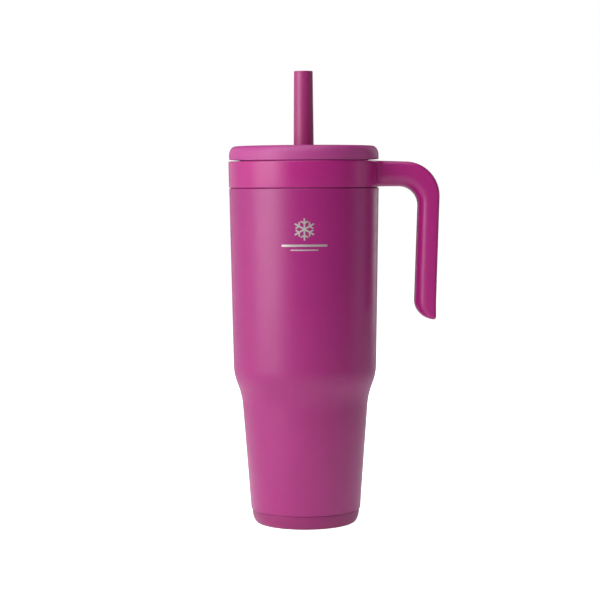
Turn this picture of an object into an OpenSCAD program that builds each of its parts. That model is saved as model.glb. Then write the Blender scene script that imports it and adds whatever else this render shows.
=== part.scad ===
// Insulated tumbler: a double-walled steel cup with a collar and side handle,
// a press-in lid with a turning dial, and a straw through the dial's hub.
// The origin is at the middle of the base, where the tumbler stands. +Z is up,
// the handle is on +X.

/* [Cup] */
// Radius of the steel shell just below the collar
shell_r = 50.2; // [49.9:0.1:50.3]
// Height of the shell's shoulder, where the collar sits
shoulder_z = 226; // [222:1:228]
// Height at which the slim lower part starts to curve in
waist_z = 106.6; // [104:0.2:110]
// Thickness of the outer shell
shell_wall = 0.6; // [0.5:0.1:0.7]
// Thickness of the inner liner
liner_wall = 0.5; // [0.4:0.1:0.6]
// Distance from the outside of the shell to the inside of the liner
jacket = 5.5; // [5.3:0.1:6.1]
// Inside radius of the mouth
mouth_r = 44; // [43.9:0.05:44.05]
// Height of the moulded base cap
cap_h = 9.6; // [9.2:0.1:10]

/* [Collar and handle] */
// Outside radius of the collar at its top
collar_r = 50.6; // [50.5:0.05:50.7]
// Height of the collar
collar_h = 17.5; // [17.3:0.1:17.6]
// Width of the handle from side to side
handle_w = 23; // [20:0.5:25]
// Height of the handle's lower tip
tip_z = 137.4; // [130:0.2:142]
// Distance from the cup's axis to the outside of the handle
handle_reach = 90.5; // [90:0.1:93]

/* [Lid] */
// Outside radius of the lid's rim
lid_r = 50.15; // [49.9:0.05:50.3]
// Height of the lid's rim
lid_h = 8.9; // [8.8:0.1:9.3]
// Gap between the collar and the lid's rim, at the rim's sides
lid_gap = 1.1; // [1:0.1:1.4]
// The same gap in front and behind
front_gap = 0.4; // [0.4:0.1:0.9]
// Radius of the lid's plug
plug_r = 43.2; // [43.1:0.05:43.3]
// Radius of the turning dial
dial_r = 37.5; // [36:0.1:37.6]
// Radius of the sip hole
sip_r = 6; // [5:0.2:6.4]
// Angle that the dial turns from closed to open
dial_turn = 70; // [60:1:90]

/* [Straw] */
// Radius of the straw's tube
straw_r = 5; // [4.8:0.05:5]
// Height of the straw's top end
straw_top = 303.9; // [290:0.1:310]

/* [Hidden] */
$fn = 96;
eps = 0.01;

magenta = [0.62, 0.15, 0.44];
steel = [0.76, 0.77, 0.78];
soft_grey = [0.30, 0.30, 0.32];

// The shell's outline, from the shoulder down: a slight taper, a convex bend, a short
// slope, a concave bend and the slim lower taper. Angles are measured from the axis.
upper_taper = 1;
slope = 20.4;
lower_taper = 4.2;
bend_out_r = 34;
slope_len = 2.85;
bend_in_r = 47.5;
shoulder_round = 0.9;

// Radius just above the waist, and the two ends of the bends
waist_r = shell_r - (shoulder_z - 1.5 - waist_z) * tan(upper_taper);
function bend_out(a) = [waist_r - bend_out_r * (cos(upper_taper) - cos(a)),
                        waist_z - bend_out_r * (sin(a) - sin(upper_taper))];
slope_end = bend_out(slope) - slope_len * [sin(slope), cos(slope)];
function bend_in(a) = slope_end - bend_in_r * [cos(a) - cos(slope), sin(slope) - sin(a)];
foot_start = bend_in(lower_taper);
foot_r = foot_start[0] - (foot_start[1] - cap_h) * tan(lower_taper);

// Points of the two bends and the slope between them, shifted inward by d
bend_steps = 10;
function bends(d) = concat(
    [for (i = [0:bend_steps]) bend_out(upper_taper + (slope - upper_taper) * i / bend_steps) - [d, 0]],
    [for (i = [0:bend_steps]) bend_in(slope - (slope - lower_taper) * i / bend_steps) - [d, 0]]);
function reversed(p) = [for (i = [len(p) - 1:-1:0]) p[i]];

// Neck and rim of the steel cup, under the collar
neck_r = 46.3;
rim_z = shoulder_z + 16.5;

// Foot of the shell, hidden in the base cap
foot_in_r = 34.3;
foot_z = 2.6;
cap_floor = 2;
cap_step = 0.7;
cap_round = 4;

// Steel bottom plate with a raised dimple that holds the evacuation port
plate_z = 4;
dimple_r = 8;
dimple_z = 6.4;
port_r = 1.2;

// Liner's floor
liner_floor = 14.5;
floor_round = 8;

// Collar
collar_z = shoulder_z + 0.4;
collar_top = collar_z + collar_h;
core_r = 48.2;
collar_taper = 0.35;
skin_t = 1.1;

// Lid
rim_low = collar_top + lid_gap;
rim_front = collar_top + front_gap;
rim_top = rim_low + lid_h;
seat_r = 45.9;
seat_h = 1.2;
lid_wall = 2.1;
floor_low = rim_low + 2.6;
floor_top = floor_low + 2;
plug_low = rim_z - 13.5;
plug_in_r = 39.8;
groove_z = rim_z - 9;
groove_h = 6;
groove_r = 41.6;
recess_gap = 0.4;
hub_bore_r = 10;
sip_at = 27;
vent_r = 1.2;

// Dial
hub_r = hub_bore_r - 0.08;
hub_in_r = 6.9;
dial_low = floor_top + 1.3;
dial_top = rim_top - 0.4;
hub_low = floor_low - 3.8;
oring_z = (floor_low + floor_top) / 2 + 0.2;
oring_r = 0.65;
clip_z = floor_low - 2.6;
clip_h = 2.4;
clip_r = 9.2;

// Straw
straw_wall = 1;
straw_low = 18;
tip_low_r = 6.75;
tip_top_r = 6.3;
tip_lap = 6;

module ring(r_in, r_out, z, h) {
    translate([0, 0, z]) difference() {
        cylinder(r = r_out, h = h);
        translate([0, 0, -1]) cylinder(r = r_in, h = h + 2);
    }
}

module outer_shell() {
    t = shell_wall;
    in_neck = neck_r - t;
    color(magenta) rotate_extrude() polygon(concat(
        [[neck_r, rim_z - t], [neck_r, shoulder_z]],
        [for (a = [0:30:90]) [shell_r - shoulder_round * (1 - sin(a)),
                              shoulder_z - shoulder_round * (1 - cos(a))]],
        bends(0),
        [[foot_r, cap_h], [foot_in_r, cap_h], [foot_in_r, foot_z],
         [foot_in_r - t, foot_z], [foot_in_r - t, cap_h + t], [foot_r - t, cap_h + t]],
        reversed(bends(t)),
        [[shell_r - t, shoulder_z - t - shoulder_round], [shell_r - t - shoulder_round, shoulder_z - t],
         [in_neck, shoulder_z - t], [in_neck, rim_z - t]]));
}

// Height at which the liner, parallel to the shell, reaches the mouth's radius
liner_meet_z = shoulder_z - 1.5 - (shell_r - jacket - mouth_r) / tan(upper_taper);
floor_r = foot_r + (liner_floor + floor_round - cap_h) * tan(lower_taper) - jacket;
function liner_side(d) = concat([[mouth_r + d, liner_meet_z]], bends(jacket - d));
function liner_corner(d) = [for (a = [0:15:90])
    [floor_r - floor_round + (floor_round + d) * cos(a),
     liner_floor + floor_round - (floor_round + d) * sin(a)]];

module inner_liner() {
    t = liner_wall;
    color(steel) rotate_extrude() polygon(concat(
        [[mouth_r, rim_z]], liner_side(0), liner_corner(0), [[0, liner_floor], [0, liner_floor - t]],
        reversed(liner_corner(t)), reversed(liner_side(t)),
        [[mouth_r + t, rim_z - shell_wall], [neck_r, rim_z - shell_wall], [neck_r, rim_z]]));
}

module base_plate() {
    t = shell_wall;
    rim = foot_in_r - t;
    color(steel) rotate_extrude() polygon([
        [port_r, dimple_z], [dimple_r, dimple_z], [dimple_r + 2, plate_z], [rim - t, plate_z],
        [rim - t, foot_z], [rim, foot_z], [rim, plate_z + t], [dimple_r + 2, plate_z + t],
        [dimple_r, dimple_z + t], [port_r, dimple_z + t]]);
}

module vacuum_seal() {
    color([0.7, 0.6, 0.4]) translate([0, 0, dimple_z - 1.2]) cylinder(r = 4, h = 1.2);
}

getter_at = 20;
getter_r = 4.5;
getter_h = 2.5;

module getter() {
    color([0.35, 0.35, 0.36])
        translate([getter_at, 0, plate_z + shell_wall]) cylinder(r = getter_r, h = getter_h);
}

module getter_strap() {
    foot = 3;
    t = 0.4;
    span = getter_r + 0.2;
    color(steel) translate([getter_at, 0, plate_z + shell_wall]) difference() {
        translate([-1.5, -span - foot, 0]) cube([3, 2 * (span + foot), getter_h + t]);
        translate([-2, -span, -1]) cube([4, 2 * span, getter_h + 1]);
        for (side = [-1, 1]) translate([-2, side * (span + t + 5) - 5, t])
            cube([4, 10, getter_h + 1]);
    }
}

module base_adhesive() {
    color(soft_grey) ring(15, foot_in_r - 0.1, cap_floor, foot_z - cap_floor);
}

module base_cap() {
    r = foot_r - cap_step;
    color(magenta) rotate_extrude() polygon(concat(
        [[0, cap_floor], [foot_in_r, cap_floor], [foot_in_r, cap_h - 0.3]],
        [for (a = [0:9:90]) [r - cap_round * (1 - cos(a)), (cap_h - 0.3) * (1 - sin(a))]],
        [[0, 0]]));
}

module collar_seal() {
    color(soft_grey) ring(neck_r + 0.1, shell_r - 1, shoulder_z, collar_z - shoulder_z);
}

// The handle runs out from the collar, bends down and ends in a free tip. Each station is a
// pair of points in the XZ plane, one on the finger side and one on the outer side. The arm's
// top slopes down a little from the collar's top to the bend.
arm_drop = 0.7;
arm_top = collar_top - arm_drop;
arm_low = collar_z + 0.3;
outer_bend_r = 23;
inner_bend_r = 12.8;
outer_c = [handle_reach - outer_bend_r, arm_top - outer_bend_r];
grip_lean = 1.9;
grip_t = 14.1;
inner_c = [handle_reach - grip_t - inner_bend_r, arm_low - inner_bend_r];
tip_round = 12.3;
tip_corner = 0.8;
bend_stations = 12;
tip_stations = 7;
outer_foot_x = handle_reach - (outer_c[1] - tip_z) * tan(grip_lean) + 0.4;
inner_foot_x = outer_foot_x - grip_t;
root_x = 47;

function bend_station(a) = [inner_c + inner_bend_r * [cos(a), sin(a)],
                            outer_c + outer_bend_r * [cos(a), sin(a)]];
function tip_station(a) =
    let (z = tip_z + tip_round * (1 - sin(a)),
         x = inner_foot_x + tip_round * (1 - cos(a)),
         out = outer_foot_x - tip_corner * max(0, sin(a) - 0.9) * 10)
    [[x, z], [out, z]];
function stations() = concat(
    [[[root_x, arm_low], [root_x, collar_top]]],
    [for (i = [0:bend_stations]) bend_station(90 - (90 + grip_lean) * i / bend_stations)],
    [for (i = [0:tip_stations]) tip_station(90 * i / tip_stations)]);

// Outline across the handle: well rounded on the finger side, less so on the outside.
// t runs from the finger side to the outer side, w is half the width.
finger_round = 8;
outer_round = 2.4;
function half_section(t, w) =
    let (f = min(finger_round, t * 0.6), e = min(outer_round, t * 0.3))
    concat([for (a = [0:15:90]) [f * (1 - cos(a)), w - finger_round * (1 - sin(a))]],
           [for (b = [90:-22.5:0]) [t - e * (1 - cos(b)), w - outer_round * (1 - sin(b))]]);
function section(t, w) = let (h = half_section(t, w))
    concat(h, [for (p = reversed(h)) [p[0], -p[1]]]);
function station_ring(s, w) =
    let (t = norm(s[1] - s[0]), u = (s[1] - s[0]) / t)
    [for (p = section(t, w)) [s[0][0] + u[0] * p[0], p[1], s[0][1] + u[1] * p[0]]];

module sweep(rings) {
    n = len(rings[0]);
    last = len(rings) - 1;
    polyhedron(
        points = [for (r = rings) for (p = r) p],
        faces = concat(
            [[for (i = [0:n - 1]) i]],
            [for (k = [0:last - 1]) for (i = [0:n - 1]) let (j = (i + 1) % n)
                each [[k * n + i, (k + 1) * n + i, (k + 1) * n + j],
                      [k * n + i, (k + 1) * n + j, k * n + j]]],
            [[for (i = [n - 1:-1:0]) last * n + i]]),
        convexity = 6);
}

// The tip also narrows a little in its last few millimetres
function tip_width(k, count) = handle_w / 2 - 2.5 * pow(max(0, (k - count + 4) / 3), 2);

module handle_sweep() {
    s = stations();
    sweep([for (k = [0:len(s) - 1]) station_ring(s[k], tip_width(k, len(s)))]);
}

core_inset = 4.6;
core_w = 10;
module handle_core() {
    s = stations();
    n = len(s) - tip_stations + 3;
    function inset(p, d) = let (u = (p[1] - p[0]) / norm(p[1] - p[0])) p[0] + u * d;
    inner = [for (k = [0:n - 1]) inset(s[k], core_inset)];
    outer = [for (k = [0:n - 1]) inset(s[k], norm(s[k][1] - s[k][0]) - core_inset)];
    color("dimgray") union() {
        ring(neck_r + 0.05, core_r, collar_z + skin_t, collar_h - 2 * skin_t);
        rotate([90, 0, 0]) translate([0, 0, -core_w / 2])
            linear_extrude(core_w) polygon(concat(inner, reversed(outer)));
    }
}

module handle_skin() {
    low_r = collar_r - collar_taper;
    edge = 0.3;
    color(magenta) difference() {
        union() {
            rotate_extrude() polygon([
                [neck_r + 0.05, collar_z], [low_r - edge, collar_z], [low_r, collar_z + edge],
                [collar_r, collar_top - 3 * edge], [collar_r - edge, collar_top - edge],
                [collar_r - 3 * edge, collar_top], [neck_r + 0.05, collar_top]]);
            handle_sweep();
        }
        handle_core();
    }
}

// Shallow arc under the rim, the same on both sides, that leaves room for a fingertip
rise_half = 35;
rise_step = 5;
module rim_rise() {
    rise = rim_low - rim_front;
    far = rise_half + rise_step;
    intersection() {
        ring(seat_r + 0.5, lid_r + 1, rim_front - 1, rise + 2);
        rotate([90, 0, 90]) linear_extrude(2 * lid_r + 4, center = true) polygon(concat(
            [for (y = [-far:rise_step:far]) [y, rim_low - rise * pow(y / rise_half, 2)]],
            [[far, rim_front - 2], [-far, rim_front - 2]]));
    }
}

// Rounded upper edge of the lid's rim
lid_edge = [4.2, 6];
module lid_body() {
    recess_r = dial_r + recess_gap;
    color(magenta) difference() {
        rotate_extrude() polygon(concat(
            [[hub_bore_r, floor_low], [plug_in_r, floor_low], [plug_in_r, plug_low],
             [plug_r - 0.8, plug_low], [plug_r, plug_low + 0.8],
             [plug_r, groove_z], [groove_r, groove_z], [groove_r, groove_z + groove_h],
             [plug_r, groove_z + groove_h], [plug_r, rim_z], [seat_r, rim_z],
             [seat_r, rim_z + seat_h], [plug_r, rim_z + seat_h], [plug_r, rim_top - lid_wall],
             [lid_r - lid_wall, rim_top - lid_wall], [lid_r - lid_wall, rim_front], [lid_r, rim_front]],
            [for (a = [0:10:90]) [lid_r - lid_edge[0] * (1 - cos(a)), rim_top - lid_edge[1] * (1 - sin(a))]],
            [[recess_r, rim_top], [recess_r, floor_top], [hub_bore_r, floor_top]]));
        translate([0, -sip_at, floor_low - 1]) cylinder(r = sip_r, h = 4);
        translate([0, sip_at, floor_low - 1]) cylinder(r = vent_r, h = 4);
        rim_rise();
    }
}

module lid_gasket() {
    lip = mouth_r - 0.08;
    mid = (groove_r + lip) / 2 + 0.2;
    low = groove_z + 0.2;
    top = groove_z + groove_h - 0.2;
    color(soft_grey) rotate_extrude() polygon([
        [groove_r, low], [mid, low], [lip, low + 1.4], [lip, low + 1.8], [mid, low + 2.2],
        [mid, low + 3.2], [lip, low + 4.2], [lip, low + 4.6], [mid, top], [groove_r, top]]);
}

// Places on the dial, as angles: the holes meet the lid's sip and vent holes when it is open
sip_angle = -90 - dial_turn;
vent_angle = 90 - dial_turn;
tab_angle = 60;

module dial_cover() {
    boss_r = 11.6;
    color(magenta) difference() {
        union() {
            rotate_extrude() polygon([
                [hub_in_r, hub_low], [hub_r, hub_low], [hub_r, clip_z], [clip_r, clip_z],
                [clip_r, clip_z + clip_h], [hub_r, clip_z + clip_h], [hub_r, oring_z - 0.7],
                [hub_r - 1.4, oring_z - 0.7], [hub_r - 1.4, oring_z + 0.7], [hub_r, oring_z + 0.7],
                [hub_r, dial_low], [dial_r, dial_low], [dial_r, dial_top - 0.4],
                [dial_r - 0.4, dial_top], [boss_r + 0.4, dial_top], [boss_r, rim_top],
                [straw_r + 0.5, rim_top], [straw_r + 0.5, dial_low + 1.3], [hub_in_r, dial_low + 1.3]]);
            rotate(tab_angle) translate([15, -2.5, dial_top - eps]) cube([18, 5, 1.3]);
        }
        rotate(sip_angle) translate([sip_at, 0, dial_low - 1]) cylinder(r = sip_r, h = 6);
        rotate(vent_angle) translate([sip_at, 0, dial_low - 1]) cylinder(r = vent_r, h = 6);
    }
}

module dial_seal() {
    low = floor_top + 0.05;
    h = dial_low - low;
    pad_r = sip_r + 2.5;
    color(soft_grey) difference() {
        union() {
            translate([0, 0, low]) cylinder(r = 14, h = h);
            translate([-3, -sip_at, low]) cube([6, 2 * sip_at, h]);
            translate([0, -sip_at, low]) cylinder(r = pad_r, h = h);
            translate([0, sip_at, low]) cylinder(r = 4, h = h);
        }
        translate([0, 0, low - 1]) cylinder(r = hub_r + 0.05, h = h + 2);
    }
}

module hub_oring() {
    color(soft_grey) rotate_extrude()
        translate([hub_r - 1.4 + oring_r, oring_z]) circle(r = oring_r, $fn = 24);
}

module hub_retainer() {
    color("dimgray") ring(clip_r, 12.5, clip_z, clip_h);
}

module straw_grommet() {
    hole = straw_r + 0.05;
    color(soft_grey) rotate_extrude() polygon([
        [hole, hub_low - 1.2], [hub_in_r + 1.6, hub_low - 1.2], [hub_in_r + 1.6, hub_low],
        [hub_in_r, hub_low], [hub_in_r, dial_low + 1.3], [hole, dial_low + 1.3]]);
}

module straw_tube() {
    color([0.9, 0.9, 0.92, 0.6]) difference() {
        ring(straw_r - straw_wall, straw_r, straw_low, straw_top - tip_lap - straw_low);
        for (turn = [0, 90]) rotate(turn)
            translate([-straw_r - 1, -1.5, straw_low - 1]) cube([2 * straw_r + 2, 3, 3]);
    }
}

module straw_tip() {
    low = rim_top + 0.05;
    lap = straw_top - tip_lap;
    color(magenta) rotate_extrude() polygon([
        [straw_r, low], [tip_low_r, low], [tip_top_r, straw_top - 0.5], [tip_top_r - 0.5, straw_top],
        [straw_r - straw_wall, straw_top], [straw_r - straw_wall, lap], [straw_r, lap]]);
}

outer_shell();
inner_liner();
base_plate();
vacuum_seal();
getter();
getter_strap();
base_adhesive();
base_cap();
collar_seal();
handle_core();
handle_skin();
lid_body();
lid_gasket();
dial_cover();
dial_seal();
hub_oring();
hub_retainer();
straw_grommet();
straw_tube();
straw_tip();
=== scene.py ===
"""Insulated tumbler with a collar handle, a press-in lid, a turning dial and a straw.

Sizes are in millimetres, from the middle of the base, and become metres where a mesh is made.
The handle is on +X, and the front, with the etched mark, faces -Y.
"""
import math

import bmesh
import bpy
from mathutils import Matrix, Vector


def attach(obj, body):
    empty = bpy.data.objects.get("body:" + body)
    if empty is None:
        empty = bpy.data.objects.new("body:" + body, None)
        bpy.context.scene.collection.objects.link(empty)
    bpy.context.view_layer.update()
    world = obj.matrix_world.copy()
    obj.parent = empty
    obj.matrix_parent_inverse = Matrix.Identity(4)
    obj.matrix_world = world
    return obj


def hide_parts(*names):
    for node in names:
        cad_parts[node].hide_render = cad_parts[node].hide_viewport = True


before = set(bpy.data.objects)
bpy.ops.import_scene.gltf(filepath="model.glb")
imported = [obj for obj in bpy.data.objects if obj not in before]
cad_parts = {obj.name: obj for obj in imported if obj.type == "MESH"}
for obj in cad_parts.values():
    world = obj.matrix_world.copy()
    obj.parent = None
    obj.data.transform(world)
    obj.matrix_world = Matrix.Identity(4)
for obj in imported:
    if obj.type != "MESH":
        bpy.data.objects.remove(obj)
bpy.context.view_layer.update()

MM = 0.001

# Points round a turned piece
CUP_SEGMENTS, DIAL_SEGMENTS, STRAW_SEGMENTS, HOLE_SEGMENTS = 256, 192, 96, 48
# An edge that bends by more than this many degrees stays sharp
SHARP = 32.0
# Points closer than this become one
WELD = 1e-5
# A radius or length below this counts as nothing
TINY = 1e-6

# ---------------------------------------------------------------- sizes that pieces share

# The steel cup: its radius under the shoulder, and the neck, mouth and rim above it
SHELL_R, SHOULDER_Z, SHELL_WALL = 50.2, 226.0, 0.6
NECK_R, MOUTH_R, RIM_Z = 46.3, 44.0, 242.5

# The collar stands on the shoulder and is a little wider at its top
COLLAR_LOW, COLLAR_TOP = 226.4, 243.9
COLLAR_LOW_R, COLLAR_R = 50.25, 50.59

# The lid: the lower edge of its rim in front and at the sides, its top and its floor
LID_R = 50.15
LID_FRONT, LID_LOW, LID_TOP = 244.3, 245.0, 253.9
FLOOR_LOW, FLOOR_TOP = 247.6, 249.6
DIAL_R, DIAL_LOW, DIAL_TOP = 37.5, 250.9, 253.5

# The sip and vent holes lie across from each other, and the dial turns this far to open them
SIP_R, VENT_R, SIP_AT = 6.0, 1.2, 27.0
SIP_TURN = 70.0

STRAW_LOW, STRAW_TOP = 18, 303.9
STRAW_R, STRAW_BORE = 5, 4


# ---------------------------------------------------------------- mesh helpers

def tan(degrees):
    return math.tan(math.radians(degrees))


def on_circle(radius, degrees):
    return radius * math.cos(math.radians(degrees)), radius * math.sin(math.radians(degrees))


def link(name, data):
    obj = bpy.data.objects.new(name, data)
    bpy.context.scene.collection.objects.link(obj)
    return obj


def finish_mesh(bm, name, sharp=SHARP):
    """Turns a bmesh in millimetres into an object in metres, smooth but for its sharp edges."""
    bmesh.ops.remove_doubles(bm, verts=bm.verts, dist=WELD)
    bmesh.ops.recalc_face_normals(bm, faces=bm.faces)
    bmesh.ops.scale(bm, verts=bm.verts, vec=(MM, MM, MM))
    mesh = bpy.data.meshes.new(name)
    bm.to_mesh(mesh)
    bm.free()
    smooth(mesh, sharp)
    return link(name, mesh)


def smooth(mesh, sharp=SHARP):
    mesh.polygons.foreach_set("use_smooth", [True] * len(mesh.polygons))
    mesh.set_sharp_from_angle(angle=math.radians(sharp))


def arc(centre, radius, start, end, steps):
    """Points of an arc in the (r, z) plane, angles in degrees."""
    turn = [math.radians(start + (end - start) * i / steps) for i in range(steps + 1)]
    return [(centre[0] + radius * math.cos(a), centre[1] + radius * math.sin(a)) for a in turn]


def quarter_ellipse(r, z, inward, up, steps):
    """Points that leave (r, z) straight up, or down if up is negative, and bend inward."""
    turn = [math.radians(90 * i / steps) for i in range(steps + 1)]
    return [(r - inward * (1 - math.cos(a)), z + up * math.sin(a)) for a in turn]


CORNER_SHARE, CORNER_STEP = 0.49, 12.0


def rounded(points):
    """A closed outline of (r, z) or (r, z, radius) corners, with each radius as an arc.

    An arc takes at most CORNER_SHARE of a side and has a point about every CORNER_STEP degrees.
    """
    outline = []
    count = len(points)
    for i, corner in enumerate(points):
        here = Vector(corner[:2])
        radius = corner[2] if len(corner) > 2 else 0.0
        before = Vector(points[i - 1][:2]) - here
        after = Vector(points[(i + 1) % count][:2]) - here
        if radius <= 0 or before.length < TINY or after.length < TINY:
            outline.append(tuple(here))
            continue
        angle = before.angle(after)
        room = min(before.length * CORNER_SHARE, after.length * CORNER_SHARE)
        reach = min(radius / math.tan(angle / 2), room)
        radius = reach * math.tan(angle / 2)
        inward = (before.normalized() + after.normalized()).normalized()
        middle = here + inward * (radius / math.sin(angle / 2))
        first = here + before.normalized() * reach - middle
        last = here + after.normalized() * reach - middle
        sweep = first.angle_signed(last)
        steps = max(2, round(abs(math.degrees(sweep)) / CORNER_STEP))
        for k in range(steps + 1):
            spin = Matrix.Rotation(-sweep * k / steps, 2)
            outline.append(tuple(middle + spin @ first))
    return outline


def lathe_bmesh(profile, segments):
    """A closed outline of (r, z) points turned about the Z axis."""
    bm = bmesh.new()
    rings = []
    for r, z in profile:
        if r < TINY:
            rings.append([bm.verts.new((0, 0, z))])
            continue
        turn = [2 * math.pi * k / segments for k in range(segments)]
        rings.append([bm.verts.new((r * math.cos(a), r * math.sin(a), z)) for a in turn])
    for here, there in zip(rings, rings[1:] + rings[:1]):
        if len(here) == 1 and len(there) == 1:
            continue
        for i in range(segments):
            j = (i + 1) % segments
            corners = [here[i % len(here)], here[j % len(here)],
                       there[j % len(there)], there[i % len(there)]]
            unique = list(dict.fromkeys(corners))
            bm.faces.new(unique)
    return bm


def lathe(name, profile, segments, sharp=SHARP):
    return finish_mesh(lathe_bmesh(profile, segments), name, sharp)


def loft_bmesh(rings):
    """A closed solid through rings that each have the same number of points."""
    bm = bmesh.new()
    made = [[bm.verts.new(p) for p in ring] for ring in rings]
    count = len(made[0])
    for here, there in zip(made, made[1:]):
        for i in range(count):
            j = (i + 1) % count
            bm.faces.new([here[i], here[j], there[j], there[i]])
    bm.faces.new(made[0])
    bm.faces.new(list(reversed(made[-1])))
    return bm


def bar(name, size, place, degrees, round_edge=0.0):
    """A box of this size at place, with its edges rounded if asked, then turned about Z."""
    bm = bmesh.new()
    bmesh.ops.create_cube(bm, size=1.0)
    bmesh.ops.scale(bm, verts=bm.verts, vec=size)
    if round_edge:
        bmesh.ops.bevel(bm, geom=bm.edges[:], offset=round_edge, segments=4, affect="EDGES",
                        profile=0.5)
    bmesh.ops.translate(bm, verts=bm.verts, vec=place)
    spin = Matrix.Rotation(math.radians(degrees), 3, "Z")
    bmesh.ops.rotate(bm, verts=bm.verts, cent=(0, 0, 0), matrix=spin)
    return finish_mesh(bm, name)


def boolean(obj, other, operation):
    """Joins or cuts obj with other, and removes other."""
    modifier = obj.modifiers.new("cut", "BOOLEAN")
    modifier.object = other
    modifier.operation = operation
    modifier.solver = "EXACT"
    evaluated = obj.evaluated_get(bpy.context.evaluated_depsgraph_get())
    mesh = bpy.data.meshes.new_from_object(evaluated)
    obj.modifiers.remove(modifier)
    obj.data = mesh
    bpy.data.objects.remove(other)
    smooth(mesh)


# ---------------------------------------------------------------- material helpers

def shade(colour, factor):
    return tuple(c * factor for c in colour)


class Nodes:
    """A material's node tree, with short calls for the nodes used here."""

    def __init__(self, name):
        self.material = bpy.data.materials.new(name)
        self.material.use_nodes = True
        self.tree = self.material.node_tree
        self.shader = self.tree.nodes["Principled BSDF"]
        self.place = self.tree.nodes.new("ShaderNodeTexCoord").outputs["Object"]

    def wire(self, source, target):
        self.tree.links.new(source, target)

    def set(self, **values):
        for key, value in values.items():
            self.shader.inputs[key.replace("_", " ")].default_value = value

    def surface(self, colour, roughness, normal):
        """Wires what the shader takes from nodes."""
        self.wire(colour, self.shader.inputs["Base Color"])
        self.wire(roughness, self.shader.inputs["Roughness"])
        self.wire(normal, self.shader.inputs["Normal"])

    def scaled(self, scale):
        """The object's coordinates, times a scale on each axis."""
        node = self.tree.nodes.new("ShaderNodeMapping")
        node.inputs["Scale"].default_value = scale
        self.wire(self.place, node.inputs["Vector"])
        return node.outputs["Vector"]

    def noise(self, size_mm, detail=2.0, roughness=0.5, place=None):
        node = self.tree.nodes.new("ShaderNodeTexNoise")
        node.inputs["Scale"].default_value = 1000.0 / size_mm
        node.inputs["Detail"].default_value = detail
        node.inputs["Roughness"].default_value = roughness
        self.wire(place or self.place, node.inputs["Vector"])
        return node.outputs["Fac"]

    def ramp(self, value, low, high, colour_low, colour_high):
        """Blends two colours as the value goes from low to high."""
        node = self.tree.nodes.new("ShaderNodeValToRGB")
        ends = node.color_ramp.elements
        ends[0].position, ends[1].position = low, high
        ends[0].color, ends[1].color = (*colour_low, 1), (*colour_high, 1)
        self.wire(value, node.inputs["Fac"])
        return node.outputs["Color"]

    def shades(self, value, colour, dark, pale, low=0.3, high=0.7):
        """Goes from a dark to a pale shade of one colour as the value goes from low to high."""
        return self.ramp(value, low, high, shade(colour, dark), shade(colour, pale))

    def span(self, value, low, high, start=0.25, end=0.75):
        """Maps a value that goes from start to end to the range low to high."""
        node = self.tree.nodes.new("ShaderNodeMapRange")
        node.inputs["From Min"].default_value = start
        node.inputs["From Max"].default_value = end
        node.inputs["To Min"].default_value = low
        node.inputs["To Max"].default_value = high
        self.wire(value, node.inputs["Value"])
        return node.outputs["Result"]

    def mix(self, factor, first, second):
        """Blends two colours by a factor, which is a number or comes from a node."""
        node = self.tree.nodes.new("ShaderNodeMix")
        node.data_type = "RGBA"
        if isinstance(factor, float):
            node.inputs["Factor"].default_value = factor
        else:
            self.wire(factor, node.inputs["Factor"])
        self.wire(first, node.inputs["A"])
        self.wire(second, node.inputs["B"])
        return node.outputs["Result"]

    def edges(self, low, high):
        """1 on convex edges and 0 elsewhere."""
        node = self.tree.nodes.new("ShaderNodeNewGeometry")
        return self.ramp(node.outputs["Pointiness"], low, high, (0, 0, 0), (1, 1, 1))

    def bump(self, height, depth_mm, strength=1.0, below=None):
        node = self.tree.nodes.new("ShaderNodeBump")
        node.inputs["Strength"].default_value = strength
        node.inputs["Distance"].default_value = depth_mm * MM
        self.wire(height, node.inputs["Height"])
        if below:
            self.wire(below, node.inputs["Normal"])
        return node.outputs["Normal"]


# ---------------------------------------------------------------- materials

def coloured_plastic(name, colour, rough, grain_mm, grain_depth, blotch=0.05, **shader):
    """Moulded or coated plastic: fine grain, slow colour drift, and a painted highlight on sharp
    convex edges.
    """
    n = Nodes(name)
    n.set(**shader)
    drift = n.shades(n.noise(28, 3), colour, 1 - blotch, 1 + blotch)
    speck = n.shades(n.noise(grain_mm * 1.7, 2), colour, 0.86, 1.14, 0.35, 0.65)
    body = n.mix(0.4, drift, speck)
    # A paler shade on sharp convex edges: a painted highlight where the edges would catch the
    # light
    pale = n.shades(n.noise(9, 2), colour, 1.2, 1.35, 0.0, 1.0)
    slow = n.bump(n.noise(6, 2), 0.02, 0.5)
    n.surface(n.mix(n.edges(0.53, 0.62), body, pale),
              n.span(n.noise(12, 4, 0.6), rough - 0.04, rough + 0.04),
              n.bump(n.noise(grain_mm, 3, 0.6), grain_depth, 1.0, slow))
    return n.material


def brushed_steel(name, colour, rough, scale):
    """Steel with a fine grain, drawn into lines across the axis that has the largest scale."""
    n = Nodes(name)
    n.set(Metallic=1.0)
    lines = n.noise(1.0, 4, 0.7, n.scaled(scale))
    n.surface(n.shades(lines, colour, 0.88, 1.05, 0.2, 0.8),
              n.span(n.noise(14, 3), rough - 0.05, rough + 0.08),
              n.bump(lines, 0.015, 0.6))
    return n.material


def rubber(name, colour, rough=0.62):
    """Dull rubber, silicone or foam with a fine tooth."""
    n = Nodes(name)
    n.set(IOR=1.42)
    n.surface(n.shades(n.noise(5, 4), colour, 0.85, 1.15),
              n.span(n.noise(3, 3), rough - 0.06, rough + 0.06),
              n.bump(n.noise(0.35, 2), 0.012, 0.8))
    return n.material


def clear_plastic(name, colour):
    """Tinted plastic that light partly goes through."""
    n = Nodes(name)
    n.set(IOR=1.46, Transmission_Weight=0.4)
    n.surface(n.shades(n.noise(20, 2), colour, 0.95, 1.0),
              n.span(n.noise(8, 3), 0.2, 0.3),
              n.bump(n.noise(1.2, 2), 0.003, 0.5))
    return n.material


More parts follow.
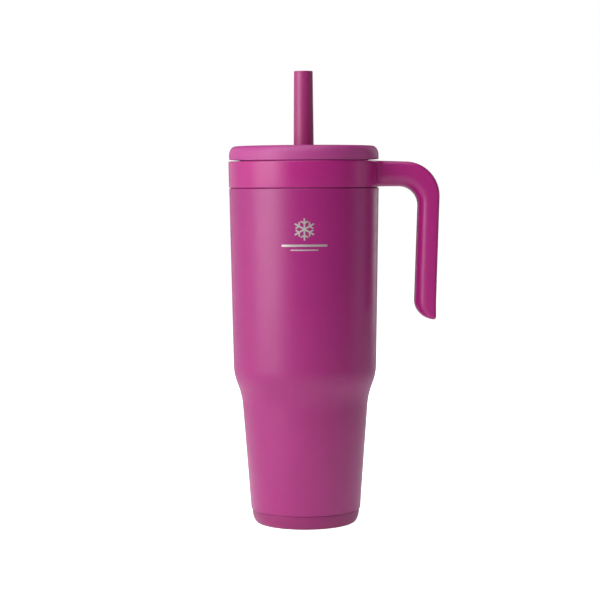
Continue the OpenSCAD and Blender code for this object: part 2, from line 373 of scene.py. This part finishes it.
def dull_metal(name, colour, rough, grain_mm=0.3):
    """Cast or pressed metal with a rough, uneven face."""
    n = Nodes(name)
    n.set(Metallic=1.0)
    n.surface(n.shades(n.noise(1.5, 4), colour, 0.8, 1.15),
              n.span(n.noise(2, 3), rough - 0.08, rough + 0.08),
              n.bump(n.noise(grain_mm, 3), 0.03, 0.8))
    return n.material


POWDER = coloured_plastic("powder_coat", (0.270, 0.0062, 0.132), 0.36, 0.45, 0.02, IOR=1.5)
MOULDED = coloured_plastic("moulded_lid", (0.338, 0.0345, 0.191), 0.50, 0.3, 0.006, IOR=1.5)
SOFT = coloured_plastic("soft_touch", (0.335, 0.0105, 0.155), 0.31, 0.25, 0.005, IOR=1.46)
BASE = coloured_plastic("base_plastic", (0.221, 0.0035, 0.099), 0.43, 0.3, 0.005, IOR=1.48)
STRAW = coloured_plastic("moulded_straw", (0.280, 0.015, 0.125), 0.40, 0.3, 0.005, IOR=1.5)
CORE = coloured_plastic("core_plastic", (0.03, 0.03, 0.032), 0.5, 0.3, 0.008)
LINER_STEEL = brushed_steel("liner_steel", (0.74, 0.73, 0.72), 0.34, (0.03, 0.03, 1.2))
PLATE_STEEL = brushed_steel("plate_steel", (0.58, 0.57, 0.56), 0.34, (6, 6, 6))
ETCHED = brushed_steel("etched_steel", (0.56, 0.54, 0.52), 0.42, (3, 3, 9))
SEAM = rubber("dark_seal", (0.090, 0.008, 0.045))
SILICONE = rubber("grey_silicone", (0.22, 0.20, 0.22), 0.5)
FOAM = rubber("foam_tape", (0.03, 0.03, 0.032), 0.8)
TUBE = clear_plastic("straw_tube", (0.86, 0.66, 0.79))
SOLDER = dull_metal("solder", (0.42, 0.36, 0.26), 0.45)
GETTER = dull_metal("getter", (0.10, 0.10, 0.105), 0.6, 0.2)


def dress(obj, material):
    obj.data.materials.clear()
    obj.data.materials.append(material)


def piece(obj, material, body, slot, *nodes):
    """A new visible piece: its material and body, the CAD nodes it stands for, and a slot that is
    not used.
    """
    dress(obj, material)
    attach(obj, body)
    if nodes:
        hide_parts(*nodes)


def carried(node, material):
    """A CAD node that stays, with its own material."""
    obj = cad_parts[node]
    smooth(obj.data)
    dress(obj, material)


# ---------------------------------------------------------------- steel cup

# The shell tapers from here down to the waist. Tapers and slope are in degrees from the axis.
TAPER_TOP = SHOULDER_Z - 1.5
UPPER_TAPER, SLOPE, LOWER_TAPER = 1.0, 20.4, 4.2

# The waist: a convex bend, a short slope and a concave bend
WAIST_Z = 106.6
BEND_OUT_R, SLOPE_LEN, BEND_IN_R = 34.0, 2.85, 47.5

# The foot, which the base cap goes round
CAP_TOP, CAP_ROUND, CAP_STEP = 9.6, 4.0, 0.7
FOOT_R, FOOT_Z = 34.3, 2.6


def shell_radius(z):
    """The shell's radius between its shoulder and its waist."""
    return SHELL_R - (TAPER_TOP - z) * tan(UPPER_TAPER)


def bends(shift, steps=16):
    """The waist's two bends and the slope between them, moved inward by shift."""
    taper, slope = math.radians(UPPER_TAPER), math.radians(SLOPE)
    centre = (shell_radius(WAIST_Z) - BEND_OUT_R * math.cos(taper),
              WAIST_Z + BEND_OUT_R * math.sin(taper))
    first = arc(centre, BEND_OUT_R, -UPPER_TAPER, -SLOPE, steps)
    end = first[-1]
    corner = (end[0] - SLOPE_LEN * math.sin(slope), end[1] - SLOPE_LEN * math.cos(slope))
    centre = (corner[0] + BEND_IN_R * math.cos(slope), corner[1] - BEND_IN_R * math.sin(slope))
    second = arc(centre, BEND_IN_R, 180 - SLOPE, 180 - LOWER_TAPER, steps)
    return [(r - shift, z) for r, z in first + second]


SHELL_FOOT = bends(0)[-1]
FOOT_SHELL_R = SHELL_FOOT[0] - (SHELL_FOOT[1] - CAP_TOP) * tan(LOWER_TAPER)


def shell():
    t = SHELL_WALL
    outer = [(NECK_R, RIM_Z - t), (NECK_R, SHOULDER_Z, 0.4), (SHELL_R, SHOULDER_Z, 0.8)]
    foot = [(FOOT_SHELL_R, CAP_TOP, 0.15), (FOOT_R, CAP_TOP), (FOOT_R, FOOT_Z),
            (FOOT_R - t, FOOT_Z), (FOOT_R - t, CAP_TOP + t), (FOOT_SHELL_R - t, CAP_TOP + t)]
    inner = [(SHELL_R - t, SHOULDER_Z - t, 0.9), (NECK_R - t, SHOULDER_Z - t),
             (NECK_R - t, RIM_Z - t)]
    profile = rounded(outer + bends(0) + foot + list(reversed(bends(t))) + inner)
    obj = lathe("shell", profile, CUP_SEGMENTS, sharp=40)
    piece(obj, POWDER, "tumbler", "powder_coat", "outer_shell")


def liner():
    """The steel inside, parallel to the shell, with a lip that closes the jacket at the rim."""
    wall, jacket, floor_z, floor_round = 0.5, 5.5, 14.5, 8.0
    meet_z = TAPER_TOP - (SHELL_R - jacket - MOUTH_R) / tan(UPPER_TAPER)
    floor_r = FOOT_SHELL_R + (floor_z + floor_round - CAP_TOP) * tan(LOWER_TAPER) - jacket

    def side(d):
        centre = (floor_r - floor_round, floor_z + floor_round)
        corner = arc(centre, floor_round + d, 0, -90, 10)
        return [(MOUTH_R + d, meet_z)] + bends(jacket - d) + corner

    inside = [(MOUTH_R, RIM_Z, 0.25)] + side(0) + [(0, floor_z)]
    outside = [(0, floor_z - wall)] + list(reversed(side(wall)))
    lip_z = RIM_Z - SHELL_WALL
    lip = [(MOUTH_R + wall, lip_z), (NECK_R, lip_z), (NECK_R, RIM_Z, 0.25)]
    obj = lathe("liner", rounded(inside + outside + lip), CUP_SEGMENTS, sharp=40)
    piece(obj, LINER_STEEL, "tumbler", "steel", "inner_liner")


def base_cap():
    """The moulded cap, with a groove round its underside and a shallow hollow in the middle."""
    r = FOOT_SHELL_R - CAP_STEP
    top, cap_floor = CAP_TOP - 0.25, 2
    groove_out, groove_in, groove_side, groove_depth = 27, 24, 0.6, 0.5
    hollow_r, hollow_side, hollow_depth = 16, 1, 0.7
    inside = [(0, cap_floor), (FOOT_R, cap_floor), (FOOT_R, top), (r, top, 0.15)]
    side = quarter_ellipse(r, top, CAP_ROUND, -top, 15)[1:]
    groove = [(groove_out, 0, 0.3), (groove_out - groove_side, groove_depth),
              (groove_in + groove_side, groove_depth), (groove_in, 0, 0.3)]
    hollow = [(hollow_r, 0, 0.4), (hollow_r - hollow_side, hollow_depth), (0, hollow_depth)]
    obj = lathe("base_cap", rounded(inside + side + groove + hollow), CUP_SEGMENTS, sharp=40)
    piece(obj, BASE, "tumbler", "base_plastic", "base_cap")


# ---------------------------------------------------------------- collar and handle

HANDLE_W, HANDLE_X = 23.0, 90.48
ARM_TOP, ARM_LOW = 243.2, 226.7
OUTER_BEND_R, INNER_BEND_R = 22.98, 12.8
BEND_STEPS = 26

# The arm starts inside the collar's wall. Its stations stand close together in the flare.
ROOT_X, ROOT_FILLET = 47.0, 6.0
FLARE_R = COLLAR_R - 0.03
ARM_XS = [ROOT_X + 0.6 * k for k in range(14)] + [57, 60]

# The grip leans inward, in degrees, and its free tip is rounded on all sides
GRIP_LEAN, GRIP_T = 1.9, 14.1
TIP_Z, TIP_ROUND, TIP_CORNER = 137.42, 12.3, 1.7
TIP_SIDE_H, TIP_SIDE_W = 2.5, 2.0
TIP_STEPS = 14

# The section's two roundings, their points, and the most of its thickness that each takes
FINGER_ROUND, FINGER_STEPS, FINGER_SHARE = 8.0, 12, 0.6
OUTER_ROUND, OUTER_STEPS, OUTER_SHARE = 2.4, 5, 0.3


def root_width(x):
    """Half the arm's width: it flares into the collar in a hollow curve."""
    half = HANDLE_W / 2
    reach = FLARE_R + ROOT_FILLET
    centre = math.sqrt(reach ** 2 - (half + ROOT_FILLET) ** 2)
    if x >= centre:
        return half
    return half + ROOT_FILLET - math.sqrt(max(0, ROOT_FILLET ** 2 - (x - centre) ** 2))


def turned_in(along):
    """How far a quarter circle of radius 1 has come in, this far along from its start."""
    return 1 - math.sqrt(max(0, 1 - along ** 2))


def handle_stations():
    """Points in the XZ plane on the finger side and the outer side, with half the width."""
    outer_c = Vector((HANDLE_X - OUTER_BEND_R, ARM_TOP - OUTER_BEND_R))
    inner_c = Vector((HANDLE_X - GRIP_T - INNER_BEND_R, ARM_LOW - INNER_BEND_R))
    foot_x = HANDLE_X - (outer_c.y - TIP_Z) * tan(GRIP_LEAN) + 0.4
    half = HANDLE_W / 2
    stations = []
    for x in ARM_XS:
        drop = (COLLAR_TOP - ARM_TOP) * (x - ROOT_X) / (outer_c.x - ROOT_X)
        stations.append(((x, ARM_LOW), (x, COLLAR_TOP - drop), root_width(x)))
    for i in range(BEND_STEPS + 1):
        a = math.radians(90 - (90 + GRIP_LEAN) * i / BEND_STEPS)
        ray = Vector((math.cos(a), math.sin(a)))
        finger, outer = inner_c + INNER_BEND_R * ray, outer_c + OUTER_BEND_R * ray
        stations.append((tuple(finger), tuple(outer), half))
    for i in range(TIP_STEPS + 1):
        a = math.radians(90 * i / TIP_STEPS)
        z = TIP_Z + TIP_ROUND * (1 - math.sin(a))
        x = foot_x - GRIP_T + TIP_ROUND * (1 - math.cos(a))
        corner = max(0.0, (TIP_Z + TIP_CORNER - z) / TIP_CORNER)
        side = max(0.0, (TIP_Z + TIP_SIDE_H - z) / TIP_SIDE_H)
        outer = (foot_x - TIP_CORNER * turned_in(corner), z)
        stations.append(((x, z), outer, half - TIP_SIDE_W * turned_in(side)))
    return stations


def handle_ring(low, high, half):
    """The handle's section from the finger side, low, to the outer side, high."""
    low, high = Vector(low), Vector(high)
    thick = (high - low).length
    along = (high - low) / thick
    finger = min(FINGER_ROUND, thick * FINGER_SHARE)
    outer = min(OUTER_ROUND, thick * OUTER_SHARE)
    side = []
    for k in range(FINGER_STEPS + 1):
        a = math.radians(90 * k / FINGER_STEPS)
        side.append((finger * (1 - math.cos(a)), half - FINGER_ROUND * (1 - math.sin(a))))
    for k in range(OUTER_STEPS + 1):
        a = math.radians(90 - 90 * k / OUTER_STEPS)
        side.append((thick - outer * (1 - math.cos(a)), half - OUTER_ROUND * (1 - math.sin(a))))
    loop = side + [(t, -y) for t, y in reversed(side)]
    return [(low.x + along.x * t, y, low.y + along.y * t) for t, y in loop]


def collar_handle():
    inside_r = NECK_R + 0.05
    profile = rounded([(inside_r, COLLAR_LOW), (COLLAR_LOW_R, COLLAR_LOW, 0.25),
                       (COLLAR_R, COLLAR_TOP, 0.9), (inside_r, COLLAR_TOP, 0.3)])
    ring = lathe("collar_handle", profile, CUP_SEGMENTS)
    arm = finish_mesh(loft_bmesh([handle_ring(*s) for s in handle_stations()]), "arm")
    boolean(ring, arm, "UNION")
    piece(ring, SOFT, "tumbler", "soft_grip", "handle_skin")


# ---------------------------------------------------------------- lid and dial

# The plug that goes into the mouth, and the gasket's groove in it
PLUG_R, PLUG_IN_R, PLUG_LOW = 43.2, 39.8, 229
GROOVE_R, GROOVE_LOW, GROOVE_TOP = 41.6, 233.5, 239.5

# The seat rests on the liner's rim. The wall is that of the lid's top and rim.
SEAT_R, SEAT_H = 45.9, 1.2
LID_WALL = 2.1

# The upper edge is a quarter ellipse. The rim's lower edge rises where Y is within RISE_HALF.
EDGE_W, EDGE_H = 4.2, 6.0
RISE_HALF = 35.0

# The dial's hub, with the grooves of its snap ring and its O-ring, and the boss on the dial
HUB_R, HUB_BORE, HUB_LOW = 9.92, 6.9, 243.8
CLIP_R, CLIP_LOW, CLIP_TOP = 9.2, 245.0, 247.4
ORING_DEPTH, ORING_LOW, ORING_TOP = 1.4, 248.1, 249.5
BOSS_R, BOSS_FLARE, BOSS_BORE, BOSS_SHELF = 11.6, 0.8, 5.5, 252.2

THUMB_SIZE, THUMB_AT, THUMB_SUNK, THUMB_ANGLE = (18, 5, 3), 24, 0.21, 60


def hole_cutter(name, x, y, radius, low, high, flare):
    """A round cutter that widens at both ends, so that the hole's edges are eased."""
    past = 2
    wide = radius + flare
    profile = [(0, low - past), (radius + past + flare, low - past), (wide, low),
               (radius, low + flare), (radius, high - flare), (wide, high),
               (radius + past + flare, high + past), (0, high + past)]
    bm = lathe_bmesh(profile, HOLE_SEGMENTS)
    bmesh.ops.translate(bm, verts=bm.verts, vec=(x, y, 0))
    return finish_mesh(bm, name)


def raise_rim(bm):
    """Lifts the lower edge of the lid's rim at both sides, in one shallow arc."""
    inside_rim = 47
    for vert in bm.verts:
        if vert.co.z < LID_LOW and vert.co.to_2d().length > inside_rim:
            vert.co.z += (LID_LOW - LID_FRONT) * max(0, 1 - (vert.co.y / RISE_HALF) ** 2)


def lid():
    under_top, rim_in_r = LID_TOP - LID_WALL, LID_R - LID_WALL
    well_r, well_in_r = DIAL_R + 0.4, 10
    plug = [(well_in_r, FLOOR_LOW, 0.2), (PLUG_IN_R, FLOOR_LOW, 0.8), (PLUG_IN_R, PLUG_LOW, 0.4),
            (PLUG_R - 0.6, PLUG_LOW, 0.6), (PLUG_R, PLUG_LOW + 1, 0.6)]
    groove = [(PLUG_R, GROOVE_LOW, 0.3), (GROOVE_R, GROOVE_LOW, 0.2),
              (GROOVE_R, GROOVE_TOP, 0.2), (PLUG_R, GROOVE_TOP, 0.3)]
    seat = [(PLUG_R, RIM_Z), (SEAT_R, RIM_Z, 0.3), (SEAT_R, RIM_Z + SEAT_H, 0.3),
            (PLUG_R, RIM_Z + SEAT_H, 0.2)]
    rim = [(PLUG_R, under_top, 0.5), (rim_in_r, under_top, 1.2), (rim_in_r, LID_FRONT, 0.3),
           (LID_R, LID_FRONT, 0.3)]
    edge = quarter_ellipse(LID_R, LID_TOP - EDGE_H, EDGE_W, EDGE_H, 12)
    well = [(well_r, LID_TOP, 0.6), (well_r, FLOOR_TOP, 0.4), (well_in_r, FLOOR_TOP, 0.2)]
    bm = lathe_bmesh(rounded(plug + groove + seat + rim + edge + well), CUP_SEGMENTS)
    raise_rim(bm)
    obj = finish_mesh(bm, "lid_top", sharp=35)
    boolean(obj, hole_cutter("sip", 0, -SIP_AT, SIP_R, FLOOR_LOW, FLOOR_TOP, 0.3), "DIFFERENCE")
    boolean(obj, hole_cutter("vent", 0, SIP_AT, VENT_R, FLOOR_LOW, FLOOR_TOP, 0.2), "DIFFERENCE")
    piece(obj, MOULDED, "lid", "lid_plastic", "lid_body")


def gasket():
    """A ring with two lips that seal against the mouth."""
    low, top, body_r, lip_r, lip_flat = 233.7, 239.3, 42.96, 43.92, 0.6
    lips = []
    for start, rise, fall in ((low, 1.3, 0.4), (low + 3.1, 1.0, 0.9)):
        lip_low = start + rise
        lip_top = lip_low + lip_flat
        lips += [(body_r, start, 0.3), (lip_r, lip_low, 0.25), (lip_r, lip_top, 0.25),
                 (body_r, lip_top + fall, 0.3)]
    profile = rounded([(GROOVE_R, low)] + lips + [(GROOVE_R, top)])
    obj = lathe("lid_gasket_ring", profile, DIAL_SEGMENTS, sharp=60)
    piece(obj, SILICONE, "lid", "silicone", "lid_gasket")


def dial():
    oring_r = HUB_R - ORING_DEPTH
    hub = [(HUB_BORE, HUB_LOW, 0.2), (HUB_R, HUB_LOW, 0.4)]
    clip = [(HUB_R, CLIP_LOW), (CLIP_R, CLIP_LOW), (CLIP_R, CLIP_TOP), (HUB_R, CLIP_TOP)]
    oring = [(HUB_R, ORING_LOW), (oring_r, ORING_LOW), (oring_r, ORING_TOP), (HUB_R, ORING_TOP)]
    plate = [(HUB_R, DIAL_LOW, 0.3), (DIAL_R, DIAL_LOW, 0.3), (DIAL_R, DIAL_TOP, 0.6)]
    boss = [(BOSS_R + BOSS_FLARE, DIAL_TOP, 0.8), (BOSS_R, LID_TOP, 0.35),
            (BOSS_BORE, LID_TOP, 0.4), (BOSS_BORE, BOSS_SHELF), (HUB_BORE, BOSS_SHELF)]
    obj = lathe("dial", rounded(hub + clip + oring + plate + boss), DIAL_SEGMENTS, sharp=35)
    x, y = on_circle(SIP_AT, -90 - SIP_TURN)
    boolean(obj, hole_cutter("dial_sip", x, y, SIP_R, DIAL_LOW, DIAL_TOP, 0.5), "DIFFERENCE")
    x, y = on_circle(SIP_AT, 90 - SIP_TURN)
    boolean(obj, hole_cutter("dial_vent", x, y, VENT_R, DIAL_LOW, DIAL_TOP, 0.25), "DIFFERENCE")
    place = (THUMB_AT, 0, DIAL_TOP - THUMB_SUNK)
    boolean(obj, bar("thumb_bar", THUMB_SIZE, place, THUMB_ANGLE, round_edge=0.6), "UNION")
    piece(obj, MOULDED, "dial", "lid_plastic", "dial_cover")


# ---------------------------------------------------------------- straw

TIP_LAP = 6
MOUTH_LOW_R, MOUTH_TOP_R = 6.75, 6.3
NOTCH = (12, 3, 4)


def straw():
    """The tapered mouthpiece and the long tube under it, notched at its lower end."""
    low, lap = LID_TOP + 0.05, STRAW_TOP - TIP_LAP
    profile = rounded([(STRAW_R, low), (MOUTH_LOW_R, low, 0.3), (MOUTH_TOP_R, STRAW_TOP, 0.45),
                       (STRAW_BORE, STRAW_TOP, 0.4), (STRAW_BORE, lap), (STRAW_R, lap)])
    tip = lathe("straw_mouthpiece", profile, STRAW_SEGMENTS)
    piece(tip, STRAW, "straw", "straw_plastic", "straw_tip")
    profile = rounded([(STRAW_BORE, STRAW_LOW, 0.3), (STRAW_R, STRAW_LOW, 0.3), (STRAW_R, lap),
                       (STRAW_BORE, lap)])
    tube = lathe("straw_pipe", profile, STRAW_SEGMENTS)
    for degrees in (0, 90):
        boolean(tube, bar("notch", NOTCH, (0, 0, STRAW_LOW), degrees), "DIFFERENCE")
    piece(tube, TUBE, "straw", "straw_clear", "straw_tube")


# ---------------------------------------------------------------- etched mark

# The mark stands a little proud of the shell and is sunk into it
MARK_PROUD, MARK_SUNK = 0.08, 0.2

# A snowflake's middle, radius and half an arm's width, over bars of low, high and half length
FLAKE_Z, FLAKE_R, FLAKE_HALF = 199.5, 7.2, 0.55
BARS = ((188.2, 189.6, 15), (185.6, 186.4, 9))
BAR_STEPS = 20


def wrapped(across, z, lift):
    """A point on the shell's front, across from its middle line, standing out by lift."""
    r = shell_radius(z)
    a = -math.pi / 2 + across / r
    return ((r + lift) * math.cos(a), (r + lift) * math.sin(a), z)


def etched_patch(bm, outline):
    """A thin closed patch of the mark, from its outline of (across, z) points."""
    top = [bm.verts.new(wrapped(x, z, MARK_PROUD)) for x, z in outline]
    low = [bm.verts.new(wrapped(x, z, -MARK_SUNK)) for x, z in outline]
    faces = [bm.faces.new(top), bm.faces.new(list(reversed(low)))]
    count = len(outline)
    for i in range(count):
        j = (i + 1) % count
        bm.faces.new([top[i], low[i], low[j], top[j]])
    bmesh.ops.triangulate(bm, faces=faces)


def snowflake(radius, half):
    """Six arms with one pair of side branches each, as one outline."""
    branch_at, branch_len = radius * 0.5, radius * 0.34
    branch_width, branch_foot = half * 1.7, half * 2.1
    sine, cosine = math.sin(math.radians(60)), math.cos(math.radians(60))
    out = (branch_len * cosine, branch_len * sine)
    side = (branch_width * sine, -branch_width * cosine)
    right = [(half / tan(30), half), (branch_at, half), (branch_at + out[0], half + out[1]),
             (branch_at + out[0] + side[0], half + out[1] + side[1]),
             (branch_at + branch_foot, half), (radius, half)]
    arm = [(u, -v) for u, v in right] + [(u, v) for u, v in reversed(right[1:])]
    outline = []
    for k in range(6):
        a = math.radians(90 + 60 * k)
        for u, v in arm:
            outline.append((u * math.cos(a) - v * math.sin(a), u * math.sin(a) + v * math.cos(a)))
    return outline


def mark():
    bm = bmesh.new()
    etched_patch(bm, [(x, FLAKE_Z + z) for x, z in snowflake(FLAKE_R, FLAKE_HALF)])
    for low, high, half in BARS:
        xs = [-half + 2 * half * i / BAR_STEPS for i in range(BAR_STEPS + 1)]
        etched_patch(bm, [(x, low) for x in xs] + [(x, high) for x in reversed(xs)])
    piece(finish_mesh(bm, "etched_mark", sharp=20), ETCHED, "tumbler", "steel")


# ---------------------------------------------------------------- all pieces

shell()
liner()
base_cap()
collar_handle()
lid()
gasket()
dial()
straw()
mark()

carried("base_plate", PLATE_STEEL)
carried("vacuum_seal", SOLDER)
carried("getter", GETTER)
carried("getter_strap", PLATE_STEEL)
carried("base_adhesive", FOAM)
carried("collar_seal", SEAM)
carried("handle_core", CORE)
carried("dial_seal", SILICONE)
carried("hub_oring", SILICONE)
carried("hub_retainer", CORE)
carried("straw_grommet", SILICONE)


# ---------------------------------------------------------------- floor, light and camera

# From here on, sizes are in metres. The camera sees the whole floor as FLOOR_SEEN. For the
# object it glows with FLOOR_GLOW within GLOW_NEAR of the middle, and not at all past GLOW_FAR.
FLOOR_SIZE = 60.0
FLOOR_SEEN, FLOOR_GLOW = 1.0, 0.36
GLOW_NEAR, GLOW_FAR = 0.20, 0.45

# The world lights the object from directions whose Y is below FRONT_START, fully at FRONT_FULL
WORLD_SEEN = 1.0
FRONT_START, FRONT_FULL, FRONT_GLOW = -0.2, -0.7, 0.25

AIM = Vector((0, 0, 0.15))
DISTANCE = 1.5

# Upright strips round the tumbler: azimuth (0 in front, negative on the left) and watts.
# Those from -80 to -30 stand side by side and make one soft box, dimmer at its ends.
STRIPS = ((-150, 1.5), (-130, 1.7), (-110, 1.4), (-95, 1.7), (-80, 2.5), (-70, 5.3), (-60, 4.0),
          (-50, 6.0), (-40, 3.5), (-30, 0.95), (90, 1.3), (105, 0.7), (145, 2.6))
STRIP_ELEVATION, STRIP_SIZE = 10, (0.28, 1.3)

# Square boxes above: azimuth, elevation, side and watts
BOXES = ((0, 89, 1.0, 7.1), (-45, 50, 0.8, 8.3), (0, 50, 0.8, 3.2), (-90, 50, 0.8, 0.8))

# The lens is in millimetres, the pitch (90 looks level) and the roll are in degrees
LENS, SENSOR = 105.0, 36.0
CAMERA_AT, CAMERA_PITCH, CAMERA_ROLL = (-0.0031, -1.1786, 0.2304), 86.12, -0.339


def seen_or_lit(tree, seen, lit):
    """A strength that is one value for the camera and another for the light on the object."""
    pick = tree.nodes.new("ShaderNodeMix")
    path = tree.nodes.new("ShaderNodeLightPath")
    tree.links.new(path.outputs["Is Camera Ray"], pick.inputs["Factor"])
    tree.links.new(lit, pick.inputs["A"])
    pick.inputs["B"].default_value = seen
    return pick.outputs["Result"]


def floor():
    bm = bmesh.new()
    bmesh.ops.create_grid(bm, x_segments=8, y_segments=8, size=FLOOR_SIZE / 2)
    mesh = bpy.data.meshes.new("floor")
    bm.to_mesh(mesh)
    bm.free()
    n = Nodes("pale_floor")
    n.set(Roughness=0.9, Emission_Color=(1, 1, 1, 1))
    away = n.tree.nodes.new("ShaderNodeVectorMath")
    away.operation = "LENGTH"
    n.wire(n.place, away.inputs[0])
    glow = n.span(away.outputs["Value"], FLOOR_GLOW, 0.0, GLOW_NEAR, GLOW_FAR)
    n.wire(seen_or_lit(n.tree, FLOOR_SEEN, glow), n.shader.inputs["Emission Strength"])
    grey = n.ramp(n.noise(60, 2), 0.3, 0.7, (0.86, 0.86, 0.86), (0.9, 0.9, 0.9))
    n.wire(grey, n.shader.inputs["Base Color"])
    obj = link("floor", mesh)
    dress(obj, n.material)


def surroundings():
    """White all round for the camera; for the object, dark but for a little light in front."""
    world = bpy.data.worlds.new("studio")
    bpy.context.scene.world = world
    world.use_nodes = True
    tree = world.node_tree
    back = tree.nodes["Background"]
    split = tree.nodes.new("ShaderNodeSeparateXYZ")
    tree.links.new(tree.nodes.new("ShaderNodeTexCoord").outputs["Generated"], split.inputs[0])
    front = tree.nodes.new("ShaderNodeMapRange")
    front.inputs["From Min"].default_value = FRONT_START
    front.inputs["From Max"].default_value = FRONT_FULL
    front.inputs["To Min"].default_value = 0.0
    front.inputs["To Max"].default_value = FRONT_GLOW
    tree.links.new(split.outputs["Y"], front.inputs["Value"])
    strength = seen_or_lit(tree, WORLD_SEEN, front.outputs["Result"])
    tree.links.new(strength, back.inputs["Strength"])
    back.inputs["Color"].default_value = (1, 1, 1, 1)


def lamp(name, azimuth, elevation, width, height, watts):
    """An area lamp at DISTANCE from the aim, facing it, that the camera doesn't see."""
    data = bpy.data.lights.new(name, "AREA")
    data.shape = "RECTANGLE"
    data.size, data.size_y = width, height
    data.energy = watts
    obj = link(name, data)
    a, e = math.radians(azimuth - 90), math.radians(elevation)
    ray = Vector((math.cos(a) * math.cos(e), math.sin(a) * math.cos(e), math.sin(e)))
    obj.location = AIM + DISTANCE * ray
    obj.rotation_euler = ray.to_track_quat("Z", "Y").to_euler()
    obj.visible_camera = False


def camera():
    """Level with the collar, looking slightly down, from 1.18 m in front."""
    data = bpy.data.cameras.new("camera")
    data.lens = LENS
    data.sensor_width = SENSOR
    obj = link("camera", data)
    pitch, roll = math.radians(CAMERA_PITCH), math.radians(CAMERA_ROLL)
    turn = Matrix.Rotation(pitch, 4, "X") @ Matrix.Rotation(roll, 4, "Z")
    obj.matrix_world = Matrix.Translation(CAMERA_AT) @ turn
    bpy.context.scene.camera = obj


floor()
surroundings()
for azimuth, watts in STRIPS:
    lamp(f"strip_{azimuth}", azimuth, STRIP_ELEVATION, *STRIP_SIZE, watts)
for azimuth, elevation, side, watts in BOXES:
    lamp(f"box_{azimuth}_{elevation}", azimuth, elevation, side, side, watts)
camera()
bpy.context.scene.view_settings.view_transform = "Standard"
